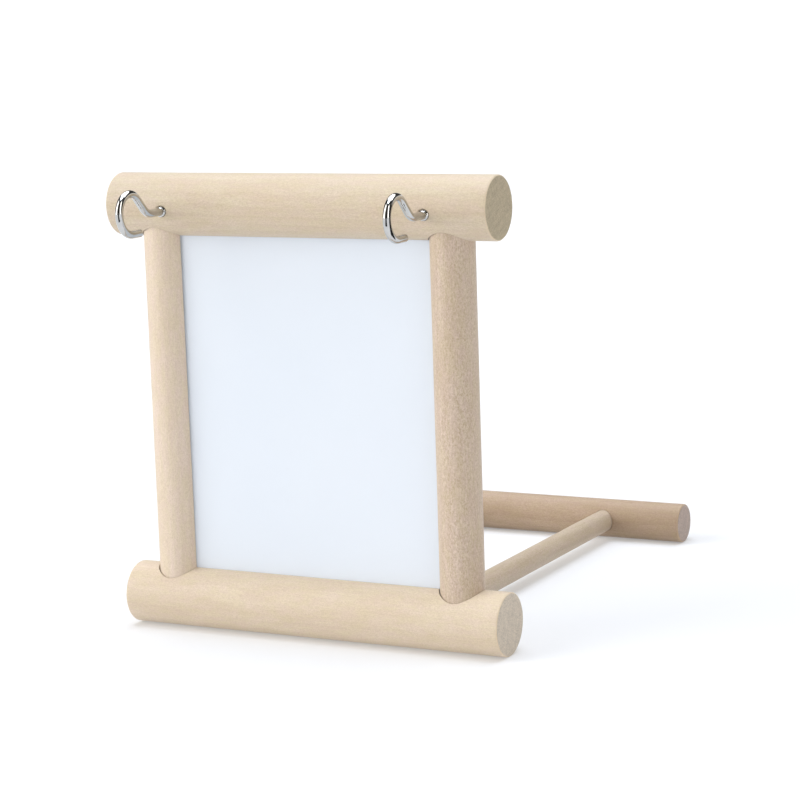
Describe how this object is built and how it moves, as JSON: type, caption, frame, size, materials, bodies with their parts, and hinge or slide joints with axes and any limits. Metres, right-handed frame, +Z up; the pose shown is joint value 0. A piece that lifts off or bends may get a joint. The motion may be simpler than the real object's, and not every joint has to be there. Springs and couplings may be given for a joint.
{
  "type": "cage mirror with perch",
  "caption": "Wood dowel frame that holds a mirror, with screw hooks to hang it on a cage wire and a U-shaped perch behind it.",
  "frame": {"origin": "bottom centre of the part's box, on the surface that the bottom rail and the perch bar stand on, midway between the front of the hooks and the back of the perch bar", "axes": "+X along the rails to the right as seen from the hooks, +Y from the hooks towards the perch, +Z up"},
  "size_m": [0.133, 0.2055, 0.1475],
  "materials": {
    "rail_wood": "sanded, unfinished pale hardwood",
    "post_wood": "sanded, unfinished pinkish hardwood",
    "arm_wood": "sanded, unfinished pale hardwood",
    "perch_wood": "sanded, unfinished tan hardwood",
    "white_board": "smooth semi-gloss white",
    "mirror_acrylic": "mirror",
    "hook_metal": "bright nickel plate"
  },
  "bodies": {
    "frame": {"top_rail": "rail_wood", "bottom_rail": "rail_wood", "left_post": "post_wood", "right_post": "post_wood", "backing_board": "white_board", "mirror_pane": "mirror_acrylic", "left_perch_arm": "arm_wood", "right_perch_arm": "arm_wood", "perch_bar": "perch_wood"},
    "left_hook": {"left_hook": "hook_metal"},
    "right_hook": {"right_hook": "hook_metal"}
  },
  "joints": [
    {"name": "left_hook_turn", "type": "hinge", "parent": "frame", "child": "left_hook", "pos_m": [-0.046, -0.07814, 0.136], "axis": [0, 1, 0], "range_deg": [-90, 90]},
    {"name": "right_hook_turn", "type": "hinge", "parent": "frame", "child": "right_hook", "pos_m": [0.046, -0.07814, 0.136], "axis": [0, 1, 0], "range_deg": [-90, 90]}
  ]
}
